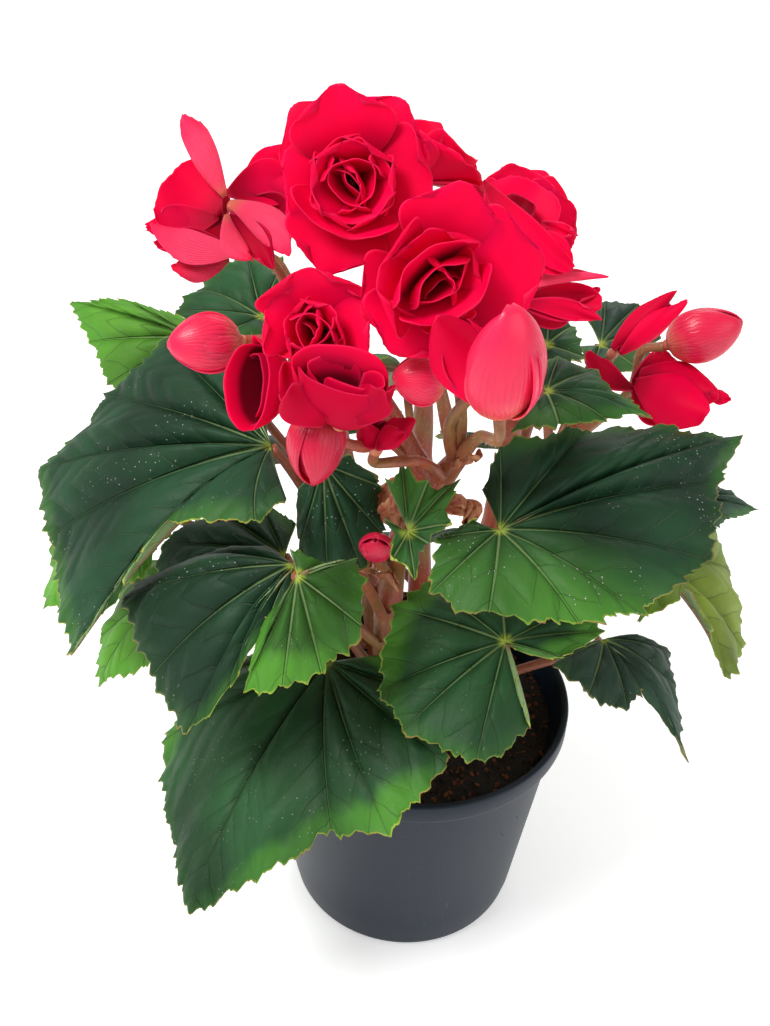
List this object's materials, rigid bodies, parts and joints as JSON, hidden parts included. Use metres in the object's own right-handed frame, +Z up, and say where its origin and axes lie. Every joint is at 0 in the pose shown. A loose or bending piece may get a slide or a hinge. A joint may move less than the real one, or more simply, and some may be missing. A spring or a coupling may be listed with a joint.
{
  "type": "potted begonia",
  "caption": "Double red begonia with broad toothed leaves, layered flowers and buds, growing in a round dark plastic nursery pot",
  "frame": {"origin": "centre of the flat pad under the pot, level with its foot ring", "axes": "+Z up, -Y towards the side that the top flower faces, +X to the right as seen from that side"},
  "size_m": [0.2936, 0.2373, 0.3384],
  "materials": {
    "pot": "dark slate grey moulded plastic, lightly scuffed",
    "soil": "dark damp peat soil",
    "stem": "fleshy reddish tan stem",
    "leaf": "satin green leaf with paler veins and a toothed yellow green edge",
    "petal": "velvety crimson petal",
    "bud": "crimson bud with a pinker outside"
  },
  "bodies": {
    "root": {"pot": "pot", "soil": "soil", "stem_front": "stem", "stem_right": "stem", "stem_left": "stem", "stem_back_right": "stem", "stem_back": "stem", "leaf_right_large": "leaf", "leaf_front_round": "leaf", "leaf_front_left_low": "leaf", "leaf_left_large": "leaf", "leaf_left_middle": "leaf", "leaf_front_bright": "leaf", "leaf_left_under": "leaf", "leaf_centre_dark": "leaf", "leaf_young": "leaf", "leaf_right_upper": "leaf", "leaf_top_left_light": "leaf", "leaf_top_left_back": "leaf", "leaf_left_far": "leaf", "leaf_left_low_light": "leaf", "leaf_right_drooping": "leaf", "leaf_right_back_small": "leaf", "leaf_right_low": "leaf", "leaf_right_back": "leaf", "leaf_upper_back_dark": "leaf", "leaf_back_left": "leaf", "leaf_back_middle": "leaf", "leaf_back_right": "leaf", "leaf_back_low": "leaf", "flower_top": "petal", "flower_centre": "petal", "flower_lower": "petal", "flower_lip": "petal", "flower_left_low": "petal", "flower_far_left": "petal", "flower_left": "petal", "flower_right": "petal", "flower_right_low": "petal", "flower_back": "petal", "flower_far_right": "petal", "flower_back_left": "petal", "flower_back_right": "petal", "bud_large": "bud", "bud_left": "bud", "bud_hanging": "bud", "bud_cluster": "bud", "bud_inner": "bud", "bud_small_red": "bud", "bud_far_right_left": "bud", "bud_far_right": "bud"}
  },
  "joints": []
}
